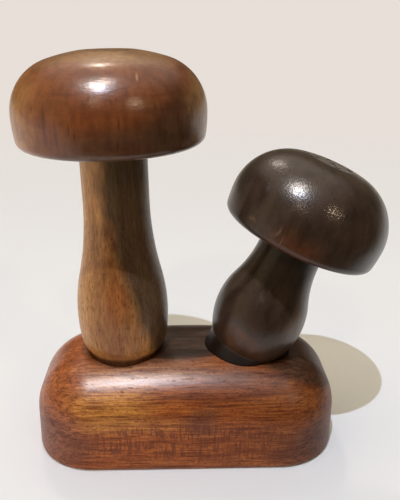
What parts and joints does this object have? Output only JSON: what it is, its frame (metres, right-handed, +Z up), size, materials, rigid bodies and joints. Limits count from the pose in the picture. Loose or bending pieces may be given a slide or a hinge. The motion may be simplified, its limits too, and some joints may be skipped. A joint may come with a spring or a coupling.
{
  "type": "salt and pepper shaker set",
  "caption": "Turned wooden mushroom shakers, one tall and upright and one short and leaning, in sockets of a loaf-shaped wooden stand, each with a cork in its foot.",
  "frame": {"origin": "middle of the stand's flat underside", "axes": "+X along the stand, from the tall shaker to the small one; -Y is the front; +Z is up"},
  "size_m": [0.1485, 0.0742, 0.1671],
  "materials": {
    "stand_wood": "gloss lacquer over orange-red open-grained wood",
    "golden_wood": "gloss lacquer over golden brown wood",
    "red_brown_wood": "gloss lacquer over reddish brown open-grained wood",
    "dark_wood": "gloss lacquer over very dark brown wood",
    "cork": "matte"
  },
  "bodies": {
    "stand_body": {"stand": "stand_wood"},
    "tall_shaker": {"tall_stem": "golden_wood", "tall_cap": "red_brown_wood"},
    "tall_cork": {"tall_stopper": "cork"},
    "small_shaker": {"small_stem": "dark_wood", "small_cap": "dark_wood"},
    "small_cork": {"small_stopper": "cork"}
  },
  "joints": [
    {"name": "tall_lift", "type": "slide", "parent": "stand_body", "child": "tall_shaker", "axis": [-0.0227, 0, 0.9997], "range_m": [0, 0.08]},
    {"name": "small_lift", "type": "slide", "parent": "stand_body", "child": "small_shaker", "axis": [0.373, 0, 0.9278], "range_m": [0, 0.08]},
    {"name": "tall_cork_pull", "type": "slide", "parent": "tall_shaker", "child": "tall_cork", "axis": [0.0227, 0, -0.9997], "range_m": [0, 0.02]},
    {"name": "small_cork_pull", "type": "slide", "parent": "small_shaker", "child": "small_cork", "axis": [-0.373, 0, -0.9278], "range_m": [0, 0.02]}
  ],
  "couplings": [
    {"joint": "tall_cork_pull", "follows": "tall_lift", "ratio": 0.25},
    {"joint": "small_cork_pull", "follows": "small_lift", "ratio": 0.25}
  ]
}
